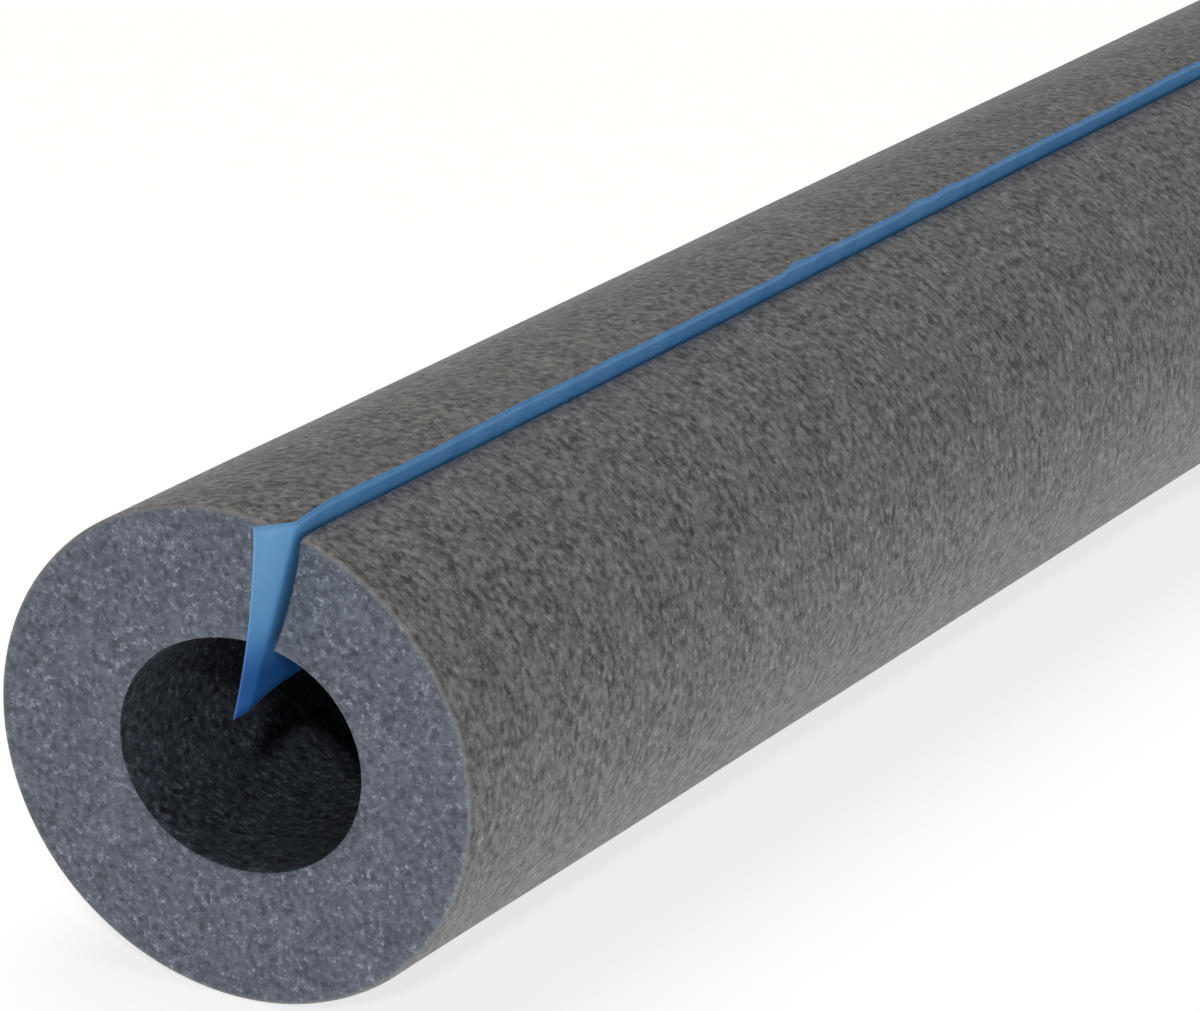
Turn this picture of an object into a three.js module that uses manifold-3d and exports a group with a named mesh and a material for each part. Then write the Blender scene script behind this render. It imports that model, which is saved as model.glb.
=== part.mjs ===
import * as THREE from 'three';
import Module from 'manifold-3d';
import { mergeVertices } from 'three/addons/utils/BufferGeometryUtils.js';

// Pipe insulation lagging: a grey foam tube, slit along its length, with a blue
// release film standing in the slit. Millimetres, +Z up, the tube along Y.
// It lies on the plane Z = 0, and the end that the photograph shows faces -Y.

// Foam tube. The swell is half of what the lying tube gains in width and loses in height.
// The bore lies a little off the skin's centre, towards +X and up.
const boreDiameter = 18;
const wallThickness = 9;
const tubeLength = 1000;
const ovalSwell = 0.76;
const boreShiftX = 0.57;
const boreShiftZ = 0.16;

// Slit: it runs from the bore's centre, leaning from straight up towards +X, in degrees.
const slitLean = 16.5;

// Film: its clearance to each face of the slit, the distance from the bore's centre to
// its lower edge, and the height of its upper edge above the foam skin.
const filmThickness = 0.2;
const filmClearance = 0.4;
const filmLowReach = 5.0;
const filmProud = 1.4;

// Both ends of the film: how far they dip towards the bore, and over what length.
const filmEndDip = 0.9;
const filmDipLength = 6;

// Length of the film past the foam at its upper corner, mid-height and lower corner,
// and how far that free end leans aside, towards -X, for each unit of its length.
const filmPastTop = 2.85;
const filmPastMiddle = 1.45;
const filmPastLow = 0.65;
const filmFreeLean = 0.5;

// Facets around each wall of the tube, narrow enough for the oval foot to rest as a smooth
// one does, and steps along the film's free edge.
const wallFacets = 360;
const freeEdgeSteps = 8;

const boreRadius = boreDiameter / 2;
const halfLength = tubeLength / 2;
const slitWidth = filmThickness + 2 * filmClearance;
const cutterMargin = 2;

const slitAngle = THREE.MathUtils.degToRad(90 - slitLean);
const slitUp = new THREE.Vector2(Math.cos(slitAngle), Math.sin(slitAngle));
const slitAside = new THREE.Vector2(slitUp.y, -slitUp.x);
const boreCentre = new THREE.Vector2(boreShiftX, boreShiftZ);
const bore = { centre: boreCentre, radius: boreRadius };
const skin = { centre: new THREE.Vector2(0, 0), radius: boreRadius + wallThickness };

const skinOutline = wallPoints(skin);
const boreOutline = wallPoints(bore);
const axisHeight = -Math.min(...skinOutline.map((point) => point.y));
const filmTopReach = slitReach(skin, 0) + filmProud;
const filmHeight = filmTopReach - filmLowReach;

const solidKit = await Module();
solidKit.setup();

// A point of the section, on an oval wall. Angles run from +X towards +Z.
function pointOnWall(wall, angle) {
  const radius = wall.radius + ovalSwell * Math.cos(2 * angle);
  const point = new THREE.Vector2(radius * Math.cos(angle), radius * Math.sin(angle));
  return point.add(wall.centre);
}

// A point of the slit, by its distance up the slit from the bore's centre and its
// distance aside from the slit's mid-plane, towards +X.
function pointInSlit(reach, aside) {
  const point = boreCentre.clone().addScaledVector(slitUp, reach);
  return point.addScaledVector(slitAside, aside);
}

// How far up the slit a wall lies, at a distance aside from the slit's mid-plane.
function slitReach(wall, aside) {
  let low = 0;
  let high = 2 * wall.radius;
  for (let halving = 0; halving < 50; halving += 1) {
    const middle = (low + high) / 2;
    const fromCentre = pointInSlit(middle, aside).sub(wall.centre);
    const wallRadius = wall.radius + ovalSwell * Math.cos(2 * fromCentre.angle());
    if (fromCentre.length() < wallRadius) {
      low = middle;
    } else {
      high = middle;
    }
  }
  return (low + high) / 2;
}

// One wall of the section, from the slit's left lip round the foot to its right lip.
function wallPoints(wall) {
  const leftLip = pointInSlit(slitReach(wall, -slitWidth / 2), -slitWidth / 2);
  const rightLip = pointInSlit(slitReach(wall, slitWidth / 2), slitWidth / 2);
  const startAngle = leftLip.clone().sub(wall.centre).angle();
  const endAngle = rightLip.clone().sub(wall.centre).angle() + 2 * Math.PI;
  const stepAngle = (2 * Math.PI) / wallFacets;
  const points = [leftLip];
  for (let step = 0; step < 2 * wallFacets; step += 1) {
    // The half step puts one flat facet straight down, where the tube rests.
    const angle = (step + 0.5) * stepAngle - Math.PI / 2;
    if (angle > startAngle + stepAngle / 4 && angle < endAngle - stepAngle / 4) {
      points.push(pointOnWall(wall, angle));
    }
  }
  points.push(rightLip);
  return points;
}

// Both walls joined by the slit's faces, drawn upright and then laid along Y.
function foamGeometry() {
  const section = new THREE.Shape(skinOutline.concat(boreOutline.toReversed()));
  const geometry = new THREE.ExtrudeGeometry(section, { depth: tubeLength, bevelEnabled: false });
  geometry.rotateX(Math.PI / 2);
  geometry.translate(0, halfLength, axisHeight);
  return geometry;
}

// The film from above: a straight strip whose two free ends lean aside.
function filmPlanGeometry() {
  const past = filmPastTop + cutterMargin;
  const side = filmFreeLean * past;
  const half = filmThickness / 2;
  const outline = new THREE.Shape([
    new THREE.Vector2(half - side, -halfLength - past),
    new THREE.Vector2(half, -halfLength),
    new THREE.Vector2(half, halfLength),
    new THREE.Vector2(half - side, halfLength + past),
    new THREE.Vector2(-half - side, halfLength + past),
    new THREE.Vector2(-half, halfLength),
    new THREE.Vector2(-half, -halfLength),
    new THREE.Vector2(-half - side, -halfLength - past),
  ]);
  const depth = filmHeight + filmEndDip + 2 * cutterMargin;
  const geometry = new THREE.ExtrudeGeometry(outline, { depth, bevelEnabled: false });
  geometry.translate(0, 0, filmLowReach - filmEndDip - cutterMargin);
  return geometry;
}

// The film's free edge at the +Y end, from its lower corner to its upper one,
// as points of reach up the slit and place along the tube.
function freeEdgePoints() {
  const lowReach = filmLowReach - filmEndDip;
  const topReach = filmTopReach - filmEndDip;
  const low = new THREE.Vector2(lowReach, halfLength + filmPastLow);
  const middle = new THREE.Vector2((lowReach + topReach) / 2, halfLength + filmPastMiddle);
  const top = new THREE.Vector2(topReach, halfLength + filmPastTop);
  // This handle makes the curve pass through the middle point half-way along.
  const handle = middle.clone().multiplyScalar(2).sub(low.clone().add(top).multiplyScalar(0.5));
  return new THREE.QuadraticBezierCurve(low, handle, top).getPoints(freeEdgeSteps);
}

// The film from its side: two long edges that dip near the ends, and two slanted ends.
function filmSideGeometry() {
  const dipStart = halfLength - filmDipLength;
  const farHalf = [
    new THREE.Vector2(filmLowReach, dipStart),
    ...freeEdgePoints(),
    new THREE.Vector2(filmTopReach, dipStart),
  ];
  const nearHalf = farHalf.map((point) => new THREE.Vector2(point.x, -point.y)).reverse();
  const outline = new THREE.Shape(farHalf.concat(nearHalf));
  const depth = 2 * (filmThickness + filmFreeLean * filmPastTop + cutterMargin);
  const geometry = new THREE.ExtrudeGeometry(outline, { depth, bevelEnabled: false });
  geometry.translate(0, 0, -depth / 2);
  geometry.rotateY(-Math.PI / 2);
  return geometry;
}

function toSolid(geometry) {
  geometry.deleteAttribute('normal');
  geometry.deleteAttribute('uv');
  const welded = mergeVertices(geometry);
  return new solidKit.Manifold(new solidKit.Mesh({
    numProp: 3,
    vertProperties: new Float32Array(welded.getAttribute('position').array),
    triVerts: new Uint32Array(welded.index.array),
  }));
}

function toGeometry(solid) {
  const mesh = solid.getMesh();
  const geometry = new THREE.BufferGeometry();
  geometry.setAttribute('position', new THREE.BufferAttribute(mesh.vertProperties, 3));
  geometry.setIndex(new THREE.BufferAttribute(mesh.triVerts, 1));
  geometry.computeVertexNormals();
  return geometry;
}

// The strip trimmed to its side view, then leaned over to stand in the slit.
function filmGeometry() {
  const film = toSolid(filmPlanGeometry()).intersect(toSolid(filmSideGeometry()));
  const geometry = toGeometry(film);
  geometry.rotateY(THREE.MathUtils.degToRad(slitLean));
  geometry.translate(boreShiftX, 0, axisHeight + boreShiftZ);
  return geometry;
}

function namedMesh(name, geometry, look) {
  const mesh = new THREE.Mesh(geometry, new THREE.MeshStandardMaterial(look));
  mesh.name = name;
  return mesh;
}

const group = new THREE.Group();
group.name = 'pipe_insulation_lagging';
group.add(namedMesh('foam_tube', foamGeometry(), { color: 0x6b6c70, roughness: 0.85, metalness: 0 }));
group.add(namedMesh('release_film', filmGeometry(), { color: 0x4f86b8, roughness: 0.35, metalness: 0 }));

export default group;
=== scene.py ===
import math

import bpy
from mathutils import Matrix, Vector


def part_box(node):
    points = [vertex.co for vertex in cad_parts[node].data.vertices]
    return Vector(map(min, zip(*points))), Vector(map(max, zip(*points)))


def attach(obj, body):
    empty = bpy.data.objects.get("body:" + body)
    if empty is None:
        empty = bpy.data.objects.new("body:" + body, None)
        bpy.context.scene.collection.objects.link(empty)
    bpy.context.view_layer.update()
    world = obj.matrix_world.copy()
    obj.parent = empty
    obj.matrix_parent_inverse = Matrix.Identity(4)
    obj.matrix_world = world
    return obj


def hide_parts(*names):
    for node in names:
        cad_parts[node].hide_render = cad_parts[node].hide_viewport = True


# Pipe insulation lagging: a slit grey foam tube with a blue release film standing in its slit.
# Metres, +Z up, the tube along Y, and the end that the photograph shows at -Y.

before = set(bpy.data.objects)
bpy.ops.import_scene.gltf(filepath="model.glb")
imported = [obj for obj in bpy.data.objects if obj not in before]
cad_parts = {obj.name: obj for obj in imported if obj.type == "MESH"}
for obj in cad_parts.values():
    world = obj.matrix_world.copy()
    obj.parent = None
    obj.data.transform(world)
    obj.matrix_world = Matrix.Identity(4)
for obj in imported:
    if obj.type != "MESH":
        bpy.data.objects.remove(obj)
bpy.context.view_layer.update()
print("frame loaded:", sorted(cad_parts))

mm = 0.001
foamLow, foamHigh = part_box("foam_tube")
halfLength = (foamHigh.y - foamLow.y) / 2
halfWidth = (foamHigh.x - foamLow.x) / 2
axisHeight = (foamHigh.z - foamLow.z) / 2

# The section, which both pieces follow. Angles run from straight up towards +X.
section = {
    "skinRadius": (halfWidth + axisHeight) / 2,  # of the round that the lying tube's oval comes from
    "swell": (halfWidth - axisHeight) / 2,  # what that round gains in width and loses in height
    "boreRadius": 9 * mm,
    "boreShiftX": 0.57 * mm,  # from the skin's centre to the point that the slit runs from
    "boreShiftZ": 0.16 * mm,
    "slitLean": math.radians(16.5),  # the slit's direction from that point
    "edgeShiftX": 0.19 * mm,  # from that point to the centre of the bore's wall
    "edgeShiftZ": 0.15 * mm,
    "edgeSlack": -0.16 * mm,  # the foam bulges into the bore
    "boreTilt": math.radians(7),  # the bore's oval leans away from the slit
    "slitSide": 0.08 * mm,  # how far aside of that point the slit and the film run
    "wanderDepth": 0.25 * mm,  # the cut isn't dead straight along the tube
    "wanderStart": 20 * mm,
    "wanderLength": 220 * mm,
}

foam = {
    "around": 181,  # points of the mesh around, along and through the wall
    "along": 231,
    "through": 11,
    "endCrowding": 0.5,  # how far the points gather at the ends, lips and rims, from 0 to 0.5
    "lipCrowding": 0.42,
    "wallCrowding": 0.42,
    "boreRounding": 0.12 * mm,  # of the edges, at the bore and at the skin
    "skinRounding": 0.5 * mm,
    "lipGap": 0.09 * mm,  # from the film's mid-plane to each lip
    "gape": 0.72 * mm,  # how far the right lip stands off the film at each end
    "gapeLength": 1.7 * mm,
    "gapeMiddle": -0.2,  # where the gape is widest, from -1 at the bore to 1 at the skin
    "gapeNarrowing": 0.486,  # how fast it narrows away from there
    "gapeRagged": 0.5,
    "lipReach": 14.0,  # the larger this is, the closer the gape stays to the lips
    "leftGape": 0.25 * mm,
    "leftDip": 0.5 * mm,  # the left lip sinks a little at the rim
    "leftDipLength": 2.2 * mm,
    "leftDipReach": 45.0,  # the same for the dip
    "unevenness": 0.16 * mm,  # gentle rise and fall of the skin
    "unevenSize": 26 * mm,
    "seed": 4.37,
}

film = {
    "along": 901,  # points of the mesh along the film and up it
    "up": 23,
    "endCrowding": 0.47,  # how far the points gather at the ends
    "thickness": 0.11 * mm,
    "lowReach": 5.2 * mm,  # from the bore's centre
    "topReach": 18.62 * mm,
    "topDip": 0.55 * mm,  # both long edges dip near the ends
    "topDipLength": 2.4 * mm,
    "lowDip": 1.4 * mm,
    "lowDipLength": 3.0 * mm,
    "lowSlant": 0.55,  # the lower corner droops past the foam
    "pastLow": 1.05 * mm,  # length past the foam: low corner, then its rise up the free edge
    "pastRise": 0.45 * mm,
    "pastCurve": 1.6 * mm,
    "freeLean": 0.41,  # the free ends lean towards -X
    "crease": 0.07 * mm,
    "crinkle": 0.26 * mm,
    "crinkleSize": 11 * mm,
    "nick": 0.2 * mm,  # small pinches that lean aside and stand up here and there
    "nickRise": 0.7,  # how far they stand up, as a share of how far they lean
    "nickLevel": 0.12,  # the higher, the rarer they are
    "nickSteepness": 10.0,
    "nickStart": -385 * mm,  # nearer than this are only the pinches that the photograph shows
    "nickSize": 4.5 * mm,
    "pinchLength": 1.3 * mm,
    "seed": 9.41,
}

# The pinches that the photograph shows: the place along the tube, and the share of a nick.
filmPinches = ((-434.5 * mm, 0.9), (-429.5 * mm, 0.5), (-415.2 * mm, 0.9), (-409.9 * mm, 0.7))


# Node trees. A Field is a number that varies over a shape, so that a tree's formulas read as such.

def plug(tree, value, socket):
    if isinstance(value, Field):
        tree.links.new(value.socket, socket)
    elif isinstance(value, bpy.types.NodeSocket):
        tree.links.new(value, socket)
    else:
        socket.default_value = value


class Field:
    def __init__(self, tree, socket):
        self.tree = tree
        self.socket = socket

    def calc(self, operation, *others):
        node = self.tree.nodes.new("ShaderNodeMath")
        node.operation = operation
        for place, value in enumerate((self, *others)):
            plug(self.tree, value, node.inputs[place])
        return Field(self.tree, node.outputs[0])

    def __add__(self, other):
        return self.calc("ADD", other)

    def __radd__(self, other):
        return self.calc("ADD", other)

    def __sub__(self, other):
        return self.calc("SUBTRACT", other)

    def __rsub__(self, other):
        return (self * -1).calc("ADD", other)

    def __mul__(self, other):
        return self.calc("MULTIPLY", other)

    def __truediv__(self, other):
        return self.calc("DIVIDE", other)

    def __rtruediv__(self, other):
        return self.calc("POWER", -1) * other

    def between(self, low, high):
        return self.calc("MAXIMUM", low).calc("MINIMUM", high)


def addNode(tree, kind, settings=None, inputs=None):
    node = tree.nodes.new(kind)
    for name, value in (settings or {}).items():
        setattr(node, name, value)
    for name, value in (inputs or {}).items():
        plug(tree, value, node.inputs[name])
    return node


def splitVector(tree, socket):
    node = addNode(tree, "ShaderNodeSeparateXYZ", inputs={0: socket})
    return [Field(tree, output) for output in node.outputs]


def joinVector(tree, x, y, z):
    return addNode(tree, "ShaderNodeCombineXYZ", inputs={0: x, 1: y, 2: z}).outputs[0]


def addNoise(tree, place, size, seed):
    # Gentle noise about zero, from about -0.5 to 0.5. It is flat where the place is zero on
    # two axes, so the places that are given stand off zero.
    node = addNode(tree, "ShaderNodeTexNoise", {"noise_dimensions": "4D"},
                   {"Vector": place, "Scale": 1 / size, "Detail": 2.0, "W": seed})
    return Field(tree, node.outputs[0]) - 0.5


def shapeTree(name, sizes):
    # A Geometry Nodes tree with a named input for each size, and those inputs as fields.
    tree = bpy.data.node_groups.new(name, "GeometryNodeTree")
    tree.interface.new_socket("Geometry", in_out="OUTPUT", socket_type="NodeSocketGeometry")
    for size, value in sizes.items():
        kind = "NodeSocketInt" if isinstance(value, int) else "NodeSocketFloat"
        tree.interface.new_socket(size, in_out="INPUT", socket_type=kind)
    entry = tree.nodes.new("NodeGroupInput")
    return tree, {size: Field(tree, entry.outputs[size]) for size in sizes}


def crowd(value, amount):
    # Gathers points that run evenly from -1 to 1 towards both ends.
    return value * (1 + amount) - value * value * value * amount


def buildWander():
    # How far the slit strays aside, by the place along the tube. Both pieces use it.
    tree = bpy.data.node_groups.new("slitWander", "GeometryNodeTree")
    tree.interface.new_socket("along", in_out="INPUT", socket_type="NodeSocketFloat")
    tree.interface.new_socket("aside", in_out="OUTPUT", socket_type="NodeSocketFloat")
    along = Field(tree, tree.nodes.new("NodeGroupInput").outputs[0])
    fromEnd = (along + halfLength - section["wanderStart"]).calc("MAXIMUM", 0.0)
    swing = (fromEnd * (2 * math.pi / section["wanderLength"])).calc("COSINE") - 1
    aside = swing * section["wanderDepth"] + section["slitSide"]
    plug(tree, aside, tree.nodes.new("NodeGroupOutput").inputs[0])
    return tree


def wanderAt(tree, wander, along):
    node = addNode(tree, "GeometryNodeGroup", {"node_tree": wander}, {0: along})
    return Field(tree, node.outputs[0])


def wallPoint(wall, angle, rise):
    # A point of an oval wall; rise is added to its radius.
    radius, centreX, centreZ, tilt = wall
    reach = radius + rise - ((angle + tilt) * 2).calc("COSINE") * section["swell"]
    x = reach * angle.calc("SINE") + centreX
    z = reach * angle.calc("COSINE") + (centreZ + axisHeight)
    return x, z


def slitOnWall(wall):
    # Where the slit's plane meets a wall: the angle and the distance from the wall's centre.
    radius, centreX, centreZ, tilt = wall
    reach = section["boreRadius"]
    for _ in range(60):  # each round brings the point closer to the wall
        x = section["boreShiftX"] - centreX + reach * math.sin(section["slitLean"])
        z = section["boreShiftZ"] - centreZ + reach * math.cos(section["slitLean"])
        angle = math.atan2(x, z)
        wallReach = radius - section["swell"] * math.cos(2 * (angle + tilt))
        reach += wallReach - math.hypot(x, z)
    return angle, wallReach


def buildFoamTree(wander):
    # A slab bent round into a C: its long sides are the slit's faces, its top is the skin.
    tree, size = shapeTree("foamTubeShape", foam)
    slab = addNode(tree, "GeometryNodeMeshCube", inputs={
        "Size": (2, 2, 2), "Vertices X": size["around"],
        "Vertices Y": size["along"], "Vertices Z": size["through"]})
    start = splitVector(tree, tree.nodes.new("GeometryNodeInputPosition").outputs[0])

    # The slab at its real size with rounded edges.
    wall = section["skinRadius"] - section["boreRadius"]
    middle = (section["skinRadius"] + section["boreRadius"]) / 2
    halves = (math.pi * middle, halfLength, wall / 2)
    crowding = (size["lipCrowding"], size["endCrowding"], size["wallCrowding"])
    rounder = size["skinRounding"] - size["boreRounding"]
    rounding = size["boreRounding"] + rounder * ((start[2] + 1) / 2)
    core, over = [], []
    for value, half, amount in zip(start, halves, crowding):
        place = crowd(value, amount) * half
        inner = place.between(rounding - half, half - rounding)
        core.append(inner)
        over.append(place - inner)
    reach = sum((each * each for each in over[1:]), over[0] * over[0]).calc("SQRT")
    side = [each / reach for each in over]
    place = [inner + each * rounding for inner, each in zip(core, side)]
    around = place[0] / halves[0]
    along = place[1]
    depth = place[2] / halves[2]

    # The slit's lips: closed on the film, gaping at the ends.
    fromEnd = along.calc("ABSOLUTE") - halfLength
    nearEnd = (fromEnd / size["gapeLength"]).calc("EXPONENT")
    fromMiddle = depth - size["gapeMiddle"]
    bulge = 1 - fromMiddle * fromMiddle * size["gapeNarrowing"]
    ragSize = 1.3 * mm
    ragPlace = joinVector(tree, 3.1 * mm, along, place[2])
    ragged = addNoise(tree, ragPlace, ragSize, size["seed"]) * size["gapeRagged"] + 1
    rightGap = size["lipGap"] + size["gape"] * nearEnd * bulge * ragged
    leftGap = size["lipGap"] + size["leftGape"] * nearEnd * bulge
    byRightLip = (1 - around) / 2
    byLeftLip = (1 + around) / 2
    rightPull = byRightLip.calc("POWER", size["lipReach"])
    leftPull = byLeftLip.calc("POWER", size["lipReach"])
    aside = wanderAt(tree, wander, along)
    shift = aside + rightGap * rightPull - leftGap * leftPull
    turn = (around + 1) * math.pi

    # Both walls, with the skin's gentle unevenness and the left lip's dip at the rim.
    loosePlace = joinVector(tree, turn.calc("SINE") * middle, along, turn.calc("COSINE") * middle)
    loose = addNoise(tree, loosePlace, size["unevenSize"], size["seed"])
    rimDip = (fromEnd / size["leftDipLength"]).calc("EXPONENT")
    dip = size["leftDip"] * rimDip * byLeftLip.calc("POWER", size["leftDipReach"])
    skinWall = (section["skinRadius"], 0, 0, 0)
    boreWall = (section["boreRadius"] + section["edgeSlack"],
                section["boreShiftX"] + section["edgeShiftX"],
                section["boreShiftZ"] + section["edgeShiftZ"], section["boreTilt"])
    skinAngle, skinReach = slitOnWall(skinWall)
    skinTurn = turn + shift / skinReach + skinAngle
    skinX, skinZ = wallPoint(skinWall, skinTurn, loose * size["unevenness"] - dip)
    boreAngle, boreReach = slitOnWall(boreWall)
    boreTurn = turn + shift / boreReach + boreAngle
    boreX, boreZ = wallPoint(boreWall, boreTurn, loose * size["unevenness"])
    outward = (depth + 1) / 2
    x = boreX + (skinX - boreX) * outward
    z = boreZ + (skinZ - boreZ) * outward

    # What the materials read is stored before the points move, because both come from their places.
    slabPlace = joinVector(tree, around * math.pi * section["skinRadius"], along, place[2])
    geometry = storeVector(tree, slab.outputs["Mesh"], "slabSide", joinVector(tree, *side))
    geometry = storeVector(tree, geometry, "slabPlace", slabPlace)
    shaped = addNode(tree, "GeometryNodeSetPosition", inputs={
        "Geometry": geometry, "Position": joinVector(tree, x, along, z)})
    return tree, shaped.outputs[0]


def storeVector(tree, geometry, name, value):
    node = addNode(tree, "GeometryNodeStoreNamedAttribute",
                   {"data_type": "FLOAT_VECTOR", "domain": "POINT"},
                   {"Geometry": geometry, "Name": name, "Value": value})
    return node.outputs[0]


def paint(tree, geometry, material, chosen=True):
    node = addNode(tree, "GeometryNodeSetMaterial",
                   inputs={"Geometry": geometry, "Selection": chosen, "Material": material})
    return node.outputs[0]


def closeTree(tree, geometry):
    smooth = addNode(tree, "GeometryNodeSetShadeSmooth", inputs={0: geometry})
    real = addNode(tree, "GeometryNodeRealizeInstances", inputs={0: smooth.outputs[0]})
    plug(tree, real.outputs[0], tree.nodes.new("NodeGroupOutput").inputs[0])


def meshFromTree(name, tree, sizes):
    # Runs the tree once and keeps its result as a plain mesh.
    holder = bpy.data.objects.new(name + "Maker", bpy.data.meshes.new(name + "Maker"))
    bpy.context.scene.collection.objects.link(holder)
    shaper = holder.modifiers.new("shape", "NODES")
    shaper.node_group = tree
    for item in tree.interface.items_tree:
        if item.item_type == "SOCKET" and item.in_out == "INPUT":
            shaper[item.identifier] = sizes[item.name]
    shown = holder.evaluated_get(bpy.context.evaluated_depsgraph_get())
    mesh = bpy.data.meshes.new_from_object(shown, preserve_all_data_layers=True,
                                           depsgraph=bpy.context.evaluated_depsgraph_get())
    bpy.data.objects.remove(holder)
    mesh.name = name
    while mesh.materials and mesh.materials[0] is None:
        mesh.materials.pop(index=0)
    piece = bpy.data.objects.new(name, mesh)
    bpy.context.scene.collection.objects.link(piece)
    print(name, "made:", len(mesh.polygons), "faces")
    return piece


def makeFoamTube(wander, materials):
    tree, geometry = buildFoamTree(wander)
    sideNode = addNode(tree, "GeometryNodeInputNamedAttribute", {"data_type": "FLOAT_VECTOR"},
                       {"Name": "slabSide"})
    outward = splitVector(tree, sideNode.outputs[0])[2]
    halfTurned = math.cos(math.radians(45))  # the looks change half-way round an edge
    geometry = paint(tree, geometry, materials["cut"])
    geometry = paint(tree, geometry, materials["skin"], outward.calc("GREATER_THAN", halfTurned))
    geometry = paint(tree, geometry, materials["bore"], (outward * -1).calc("GREATER_THAN", halfTurned))
    closeTree(tree, geometry)
    return meshFromTree("foamTube", tree, foam)


def makeReleaseFilm(wander, materials):
    # A thin slab stood in the slit and bent aside where it leaves the foam.
    tree, size = shapeTree("releaseFilmShape", film)
    slab = addNode(tree, "GeometryNodeMeshCube", inputs={
        "Size": (2, 2, 2), "Vertices X": 2,
        "Vertices Y": size["along"], "Vertices Z": size["up"]})
    across, along, up = splitVector(tree, tree.nodes.new("GeometryNodeInputPosition").outputs[0])
    height = (up + 1) / 2
    past = size["pastLow"] + size["pastRise"] * height + size["pastCurve"] * height * height
    place = crowd(along, size["endCrowding"]) * (past + halfLength)
    fromEnd = place.calc("ABSOLUTE") - halfLength
    out = fromEnd.calc("MAXIMUM", 0.0)
    inside = fromEnd.calc("MINIMUM", 0.0)

    top = size["topReach"] - size["topDip"] * (inside / size["topDipLength"]).calc("EXPONENT")
    low = size["lowReach"] - size["lowDip"] * (inside / size["lowDipLength"]).calc("EXPONENT")
    low = low - out * size["lowSlant"]

    # The upper edge, with a slight ripple and the pinches.
    line = joinVector(tree, 13.7 * mm, place, 7.1 * mm)
    ripple = addNoise(tree, line, size["crinkleSize"] * 0.8, size["seed"] + 1)
    top = top + ripple * size["crinkle"] * 2
    nick = addNoise(tree, line, size["nickSize"], size["seed"] + 2)
    nick = ((nick - size["nickLevel"]) * size["nickSteepness"]).between(0, 1)
    nick = nick * ((place - size["nickStart"]) / size["nickSize"]).between(0, 1)
    for spot, share in filmPinches:
        off = (place - spot) / size["pinchLength"]
        nick = nick + (off * off * -1).calc("EXPONENT") * share
    top = top + nick * size["nick"] * size["nickRise"]
    reach = low + (top - low) * height

    # Only what stands proud of the skin crinkles, and the free ends lean over.
    looseFrom = section["skinRadius"] - 0.9 * mm
    looseOver = 1.2 * mm
    proud = ((reach - looseFrom) / looseOver).between(0, 1.2)
    crinkle = addNoise(tree, line, size["crinkleSize"], size["seed"]) * size["crinkle"] * 2
    lean = out * out / (out + size["crease"]) * size["freeLean"]
    sway = (crinkle - nick * size["nick"]) * proud
    aside = wanderAt(tree, wander, place) + sway - lean + across * size["thickness"] / 2
    leanSin, leanCos = math.sin(section["slitLean"]), math.cos(section["slitLean"])
    x = reach * leanSin + aside * leanCos + section["boreShiftX"]
    z = reach * leanCos - aside * leanSin + (axisHeight + section["boreShiftZ"])
    filmPlace = joinVector(tree, across, place, reach)
    geometry = storeVector(tree, slab.outputs["Mesh"], "filmPlace", filmPlace)
    shaped = addNode(tree, "GeometryNodeSetPosition", inputs={
        "Geometry": geometry, "Position": joinVector(tree, x, place, z)})
    closeTree(tree, paint(tree, shaped.outputs[0], materials["film"]))
    return meshFromTree("releaseFilm", tree, film)


# Materials

finish = {
    "cellSize": 0.42 * mm,
    "skinDark": (54, 53, 55),
    "skinLight": (151, 150, 150),
    # The cut face's blue cast is painted cool light of the shade it lies in; its spread from dark to light
    # is the foam's grain.
    "cutDark": (59, 67, 80),
    "cutLight": (129, 138, 153),
    "boreDark": (28, 32, 38),
    "boreLight": (78, 86, 98),
    "tintCool": (118, 132, 134),
    "tintWarm": (136, 124, 128),
    # Painted highlight: the colour painted where the foam's cells glint.
    "paintedGlint": (196, 206, 222),
    "glintGloss": 0.35,  # how much smoother a glint is
    "pitShade": 0.45,
    "rim": (140, 139, 138),
    "rimRange": (0.02, 0.72),  # how far a rim has turned where it starts to pale and where it is palest
    "lipRange": (0.55, 0.85),  # the same where the slit's faces turn dark: painted shade in the slit
    "lipRagged": 0.7,
    "lipShade": 0.35,
    "bumpDepth": 0.16 * mm,
    "sheen": 0.2,  # of the skin, which is paler where it turns away
    "sheenRoughness": 0.45,
}

# The foam's grain: the density of each pattern, against one lump for each cell size, its
# share in the tone or the height, and the values between which a mask comes up.
foamGrain = {
    "cellDensity": 1.25,
    "cloudDensity": 0.2,
    "sparkDensity": 1.3,
    "lumpTone": 1.7,
    "cloudTone": 0.5,
    "cellTone": 0.35,
    "middleTone": 0.42,
    "lumpHeight": 1.3,
    "cellHeight": 0.35,
    # The sparkles and the glinting cells below are painted highlights.
    "sparkRange": (0.52, 0.8),
    "paintedCellGlint": 0.45,
    "glintChance": (0.4, 1.0),
    "glintEdge": (0.6, 0.1),
    "pitChance": (0.75, 0.95),
    "pitEdge": (0.65, 0.15),
}

filmLook = {
    "inner": (36, 92, 160),  # painted shade inside the bore
    "deep": (71, 138, 199),
    "pale": (114, 172, 216),  # painted light on the free ends, and the streaks pale towards it too
    "boreShadeRange": (11 * mm, 6 * mm),  # from the bore's centre
    "freeRange": (-0.2 * mm, 0.4 * mm),  # past the foam
    "freeHeight": (7 * mm, 16 * mm),
    "freeEndLight": 0.7,
    "streakSize": 2.2 * mm,
    "streakRange": (0.3, 0.72),
    "streakPaleness": 0.3,
    "streakRelief": 0.3,
    "streakDepth": 0.1 * mm,
    "roughness": 0.38,
}


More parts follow.
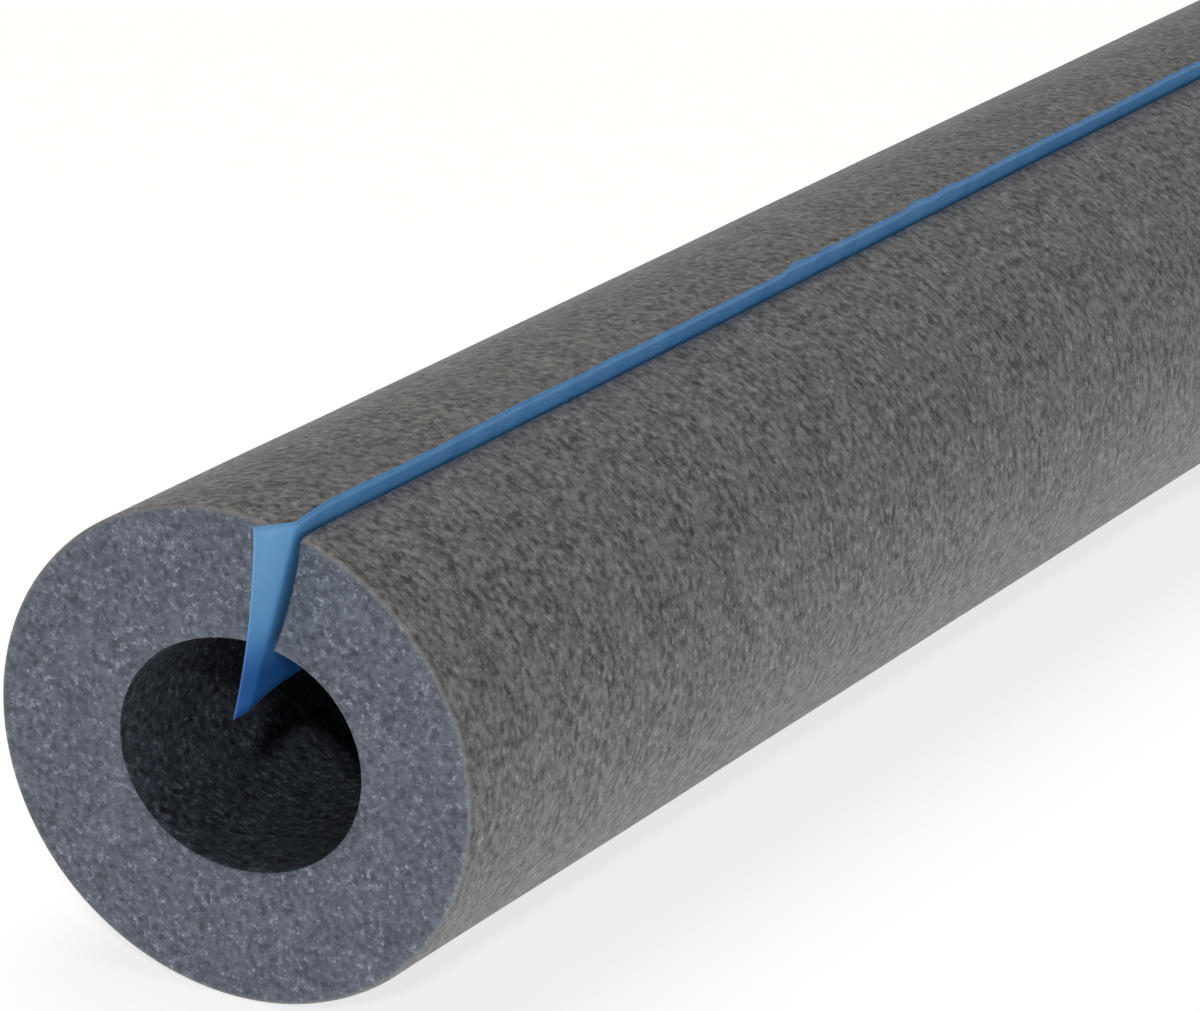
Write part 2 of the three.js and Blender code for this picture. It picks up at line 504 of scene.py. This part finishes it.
def linear(colour):
    # From the 0 to 255 numbers that a picture gives to the linear ones that shaders take.
    return tuple(((each / 255 + 0.055) / 1.055) ** 2.4 for each in colour) + (1.0,)


def shaderGroup(name, inputs, outputs):
    # A shader node group with named sockets, with its inputs by name. Its outputs are numbers.
    tree = bpy.data.node_groups.new(name, "ShaderNodeTree")
    for socket, kind in inputs.items():
        tree.interface.new_socket(socket, in_out="INPUT", socket_type=kind)
    for socket in outputs:
        tree.interface.new_socket(socket, in_out="OUTPUT", socket_type="NodeSocketFloat")
    entry = tree.nodes.new("NodeGroupInput")
    return tree, {socket: entry.outputs[socket] for socket in inputs}


def ramp(tree, value, low, high, softly=True):
    # From 0 at low to 1 at high.
    style = "SMOOTHSTEP" if softly else "LINEAR"
    node = addNode(tree, "ShaderNodeMapRange", {"interpolation_type": style},
                   {"Value": value, "From Min": low, "From Max": high})
    return Field(tree, node.outputs[0])


def buildGrain():
    # Closed foam cells: soft lumps and gaps, painted highlights on fine flecks and on a few cells, and a
    # few open pits.
    tree, given = shaderGroup("foamGrain", {"place": "NodeSocketVector", "cellSize": "NodeSocketFloat"},
                              ("tone", "height", "paintedGlint", "pit", "tint"))
    place = given["place"]
    density = 1 / Field(tree, given["cellSize"])
    cells = addNode(tree, "ShaderNodeTexVoronoi", None,
                    {"Vector": place, "Scale": density * foamGrain["cellDensity"]})
    lumps = addNode(tree, "ShaderNodeTexNoise", None,
                    {"Vector": place, "Scale": density, "Detail": 2.0, "Roughness": 0.62})
    clouds = addNode(tree, "ShaderNodeTexNoise", None,
                     {"Vector": place, "Scale": density * foamGrain["cloudDensity"], "Detail": 2.0})
    sparks = addNode(tree, "ShaderNodeTexNoise", None,
                     {"Vector": place, "Scale": density * foamGrain["sparkDensity"],
                      "Detail": 3.0, "Roughness": 0.7})
    inCell = Field(tree, cells.outputs["Distance"])
    chance = splitVector(tree, cells.outputs["Color"])
    lump = Field(tree, lumps.outputs[0])
    cloud = Field(tree, clouds.outputs[0])
    tone = ((lump - 0.5) * foamGrain["lumpTone"] + (cloud - 0.5) * foamGrain["cloudTone"]
            + (chance[0] - 0.5) * foamGrain["cellTone"] + foamGrain["middleTone"])
    paintedSparkle = ramp(tree, sparks.outputs[0], *foamGrain["sparkRange"])
    bright = ramp(tree, chance[1], *foamGrain["glintChance"], softly=False)
    paintedCellGlint = bright * bright * ramp(tree, inCell, *foamGrain["glintEdge"]) * foamGrain["paintedCellGlint"]
    opened = ramp(tree, chance[2], *foamGrain["pitChance"])
    results = {
        "tone": tone.between(0, 1),
        "height": lump * foamGrain["lumpHeight"] + (1 - inCell) * foamGrain["cellHeight"],
        "paintedGlint": (paintedSparkle + paintedCellGlint).between(0, 1),
        "pit": opened * ramp(tree, inCell, *foamGrain["pitEdge"]),
        "tint": lumps.outputs["Color"],
    }
    leave = tree.nodes.new("NodeGroupOutput")
    for name, value in results.items():
        plug(tree, value, leave.inputs[name])
    return tree


def newMaterial(name):
    material = bpy.data.materials.new(name)
    material.use_nodes = True
    return material, material.node_tree, material.node_tree.nodes["Principled BSDF"]


def mixColour(tree, share, first, second, way="MIX"):
    node = addNode(tree, "ShaderNodeMix",
                   {"data_type": "RGBA", "blend_type": way, "clamp_factor": True})
    plug(tree, share, node.inputs[0])
    for value, socket in ((first, node.inputs[6]), (second, node.inputs[7])):
        plug(tree, linear(value) if isinstance(value, tuple) else value, socket)
    return node.outputs[2]


def readVector(tree, name):
    node = addNode(tree, "ShaderNodeAttribute", {"attribute_type": "GEOMETRY", "attribute_name": name})
    return node.outputs["Vector"]


def stretched(tree, place, scale):
    node = addNode(tree, "ShaderNodeVectorMath", {"operation": "MULTIPLY"}, {0: place, 1: scale})
    return node.outputs[0]


def shaded(colour, amount):
    return tuple(each * amount for each in colour)


def foamMaterial(name, grain, dark, light, place, look):
    # One surface of the foam. look has the grain's strengths on it, with those of the painted highlights
    # and of the painted shade on the slit's faces, and the axis and the side on which its rims turn away,
    # where it is paler.
    material, tree, shader = newMaterial(name)
    cells = addNode(tree, "ShaderNodeGroup", {"node_tree": grain},
                    {"place": place(tree), "cellSize": finish["cellSize"] * look["cells"]})
    mask = {output.name: Field(tree, output) for output in cells.outputs}
    tone = ((mask["tone"] - 0.5) * look["contrast"] + 0.5).between(0, 1)
    colour = mixColour(tree, tone, dark, light)
    tint = mixColour(tree, mask["tint"], finish["tintCool"], finish["tintWarm"])
    colour = mixColour(tree, look["tint"], colour, tint, "OVERLAY")
    colour = mixColour(tree, mask["pit"] * look["pits"], colour, shaded(dark, finish["pitShade"]))
    # Painted highlights: the glints are painted into the colour.
    colour = mixColour(tree, mask["paintedGlint"] * look["paintedGlints"], colour, finish["paintedGlint"])
    side = splitVector(tree, readVector(tree, "slabSide"))
    rim = ramp(tree, side[look["rimAxis"]] * look["rimSign"], *finish["rimRange"])
    colour = mixColour(tree, rim * look["rim"], colour, finish["rim"])
    # Painted shade: the faces towards the slit turn dark, with a ragged edge, because the slit is in
    # shade.
    lip = side[0].calc("ABSOLUTE") + (mask["tone"] - 0.5) * finish["lipRagged"]
    lip = ramp(tree, lip, *finish["lipRange"])
    colour = mixColour(tree, lip * look["lip"], colour, shaded(dark, finish["lipShade"]))
    plug(tree, colour, shader.inputs["Base Color"])
    rough = (look["roughness"] - mask["paintedGlint"] * finish["glintGloss"]).between(0.1, 1)
    plug(tree, rough, shader.inputs["Roughness"])
    bump = addNode(tree, "ShaderNodeBump", None,
                   {"Height": mask["height"], "Strength": look["relief"], "Distance": finish["bumpDepth"]})
    plug(tree, bump.outputs[0], shader.inputs["Normal"])
    return material


def objectPlace(tree):
    return tree.nodes.new("ShaderNodeTexCoord").outputs["Object"]


def skinPlace(tree):
    # Unrolled round the tube, so that the skin's grain runs round it.
    return stretched(tree, readVector(tree, "slabPlace"), (0.62, 0.7, 1.0))


def makeSkin(grain):
    look = {"cells": 1.08, "contrast": 1.1, "tint": 0.4, "pits": 0.5, "paintedGlints": 0.35, "rim": 0.5,
            "rimAxis": 1, "rimSign": -1, "lip": 0.0, "roughness": 0.62, "relief": 0.8}
    material = foamMaterial("foamSkin", grain, finish["skinDark"], finish["skinLight"], skinPlace, look)
    shader = material.node_tree.nodes["Principled BSDF"]
    shader.inputs["Sheen Weight"].default_value = finish["sheen"]
    shader.inputs["Sheen Roughness"].default_value = finish["sheenRoughness"]
    return material


def makeCut(grain):
    look = {"cells": 1.3, "contrast": 0.85, "tint": 0.35, "pits": 0.3, "paintedGlints": 0.6, "rim": 0.5,
            "rimAxis": 2, "rimSign": 1, "lip": 0.7, "roughness": 0.6, "relief": 0.6}
    return foamMaterial("cutFoam", grain, finish["cutDark"], finish["cutLight"], objectPlace, look)


def makeBore(grain):
    look = {"cells": 1.6, "contrast": 1.1, "tint": 0.2, "pits": 0.4, "paintedGlints": 0.34, "rim": 0.0,
            "rimAxis": 1, "rimSign": 1, "lip": 0.0, "roughness": 0.65, "relief": 0.6}
    return foamMaterial("boreFoam", grain, finish["boreDark"], finish["boreLight"], objectPlace, look)


def makeFilmBlue():
    # Faint upright streaks, with painted light and shade: paler on the free ends where light falls, deeper
    # inside the bore where it is in shade.
    material, tree, shader = newMaterial("blueFilm")
    place = readVector(tree, "filmPlace")
    streaks = addNode(tree, "ShaderNodeTexNoise", None,
                      {"Vector": stretched(tree, place, (0, 1, 0.1)),
                       "Scale": 1 / filmLook["streakSize"], "Detail": 2.0})
    along, reach = splitVector(tree, place)[1:]
    freeStart, freeEnd = (halfLength + past for past in filmLook["freeRange"])
    # Painted light: the free ends pale where they stand out in the light.
    paintedFlapLight = ramp(tree, along.calc("ABSOLUTE"), freeStart, freeEnd)
    paintedFlapLight = paintedFlapLight * ramp(tree, reach, *filmLook["freeHeight"]) * filmLook["freeEndLight"]
    streak = ramp(tree, streaks.outputs[0], *filmLook["streakRange"]) * filmLook["streakPaleness"]
    colour = mixColour(tree, streak + paintedFlapLight, filmLook["deep"], filmLook["pale"])
    # Painted shade: the film darkens inside the bore.
    colour = mixColour(tree, ramp(tree, reach, *filmLook["boreShadeRange"]), colour, filmLook["inner"])
    plug(tree, colour, shader.inputs["Base Color"])
    shader.inputs["Roughness"].default_value = filmLook["roughness"]
    bump = addNode(tree, "ShaderNodeBump", None,
                   {"Height": streaks.outputs[0], "Strength": filmLook["streakRelief"],
                    "Distance": filmLook["streakDepth"]})
    plug(tree, bump.outputs[0], shader.inputs["Normal"])
    return material


grain = buildGrain()
materials = {
    "skin": makeSkin(grain),
    "cut": makeCut(grain),
    "bore": makeBore(grain),
    "film": makeFilmBlue(),
}
print("materials made:", sorted(materials))

wander = buildWander()
foamTube = makeFoamTube(wander, materials)
releaseFilm = makeReleaseFilm(wander, materials)

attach(foamTube, "root")
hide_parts("foam_tube")
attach(releaseFilm, "root")
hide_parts("release_film")


# Camera, floor and lights

view = {
    "place": (0.1909, -0.7689, 0.1480),
    "towards": (-0.4890, 0.8093, -0.3255),
    "lens": 161.63,  # millimetres, as the sensor is
    "sensor": 36,
}

studio = {
    "floor": (170, 170, 170),
    "floorGlow": 0.73,
    "floorHalfSide": 40.0,
    "sky": 0.22,
    "overhead": 11.5,
    "overheadPlace": (-0.4, -0.2, 1.6),
    "overheadAim": (0, -0.2, 0),
    "overheadSize": 1.2,
    "overheadColour": (1, 0.89, 0.74),
    "key": 6.2,
    "keyFrom": (0.447, -0.725, 0.524),  # the direction that the shadow in the bore gives
    "keyDistance": 1.4,
    "keySize": 0.1,
    "keyColour": (0.97, 0.98, 1.0),
}


def addCamera():
    lens = bpy.data.cameras.new("camera")
    lens.lens = view["lens"]
    lens.sensor_width = view["sensor"]
    lens.clip_start = 0.01
    lens.clip_end = 200
    camera = bpy.data.objects.new("camera", lens)
    camera.location = view["place"]
    camera.rotation_mode = "QUATERNION"
    camera.rotation_quaternion = Vector(view["towards"]).to_track_quat("-Z", "Y")
    bpy.context.scene.collection.objects.link(camera)
    bpy.context.scene.camera = camera


def makePaleFloor():
    # A studio floor that glows a little, which keeps the shadow on it faint.
    material, _, shader = newMaterial("paleFloor")
    shader.inputs["Base Color"].default_value = linear(studio["floor"])
    shader.inputs["Roughness"].default_value = 0.9
    shader.inputs["Specular IOR Level"].default_value = 0.1
    shader.inputs["Emission Color"].default_value = (1, 1, 1, 1)
    shader.inputs["Emission Strength"].default_value = studio["floorGlow"]
    return material


def addFloor():
    side = studio["floorHalfSide"]
    corners = [(-side, -side, 0), (side, -side, 0), (side, side, 0), (-side, side, 0)]
    mesh = bpy.data.meshes.new("floor")
    mesh.from_pydata(corners, [], [(0, 1, 2, 3)])
    floor = bpy.data.objects.new("floor", mesh)
    mesh.materials.append(makePaleFloor())
    bpy.context.scene.collection.objects.link(floor)


def addAreaLight(name, place, aim, size, power, colour):
    light = bpy.data.lights.new(name, "AREA")
    light.shape = "DISK"
    light.size = size
    light.energy = power
    light.color = colour
    lamp = bpy.data.objects.new(name, light)
    lamp.location = place
    lamp.rotation_mode = "QUATERNION"
    lamp.rotation_quaternion = (Vector(aim) - Vector(place)).to_track_quat("-Z", "Y")
    lamp.visible_camera = False
    bpy.context.scene.collection.objects.link(lamp)


def addWorld():
    world = bpy.data.worlds.new("paleSky")
    world.use_nodes = True
    sky = world.node_tree.nodes["Background"]
    sky.inputs["Color"].default_value = (1, 1, 1, 1)
    sky.inputs["Strength"].default_value = studio["sky"]
    bpy.context.scene.world = world


bpy.context.scene.view_settings.view_transform = "Standard"
addCamera()
addFloor()
addWorld()
addAreaLight("overhead", studio["overheadPlace"], studio["overheadAim"], studio["overheadSize"],
             studio["overhead"], studio["overheadColour"])
nearFace = Vector((0, -halfLength, axisHeight))
keyPlace = nearFace + Vector(studio["keyFrom"]) * studio["keyDistance"]
addAreaLight("key", keyPlace, nearFace, studio["keySize"], studio["key"], studio["keyColour"])
print("camera, floor and lights set")
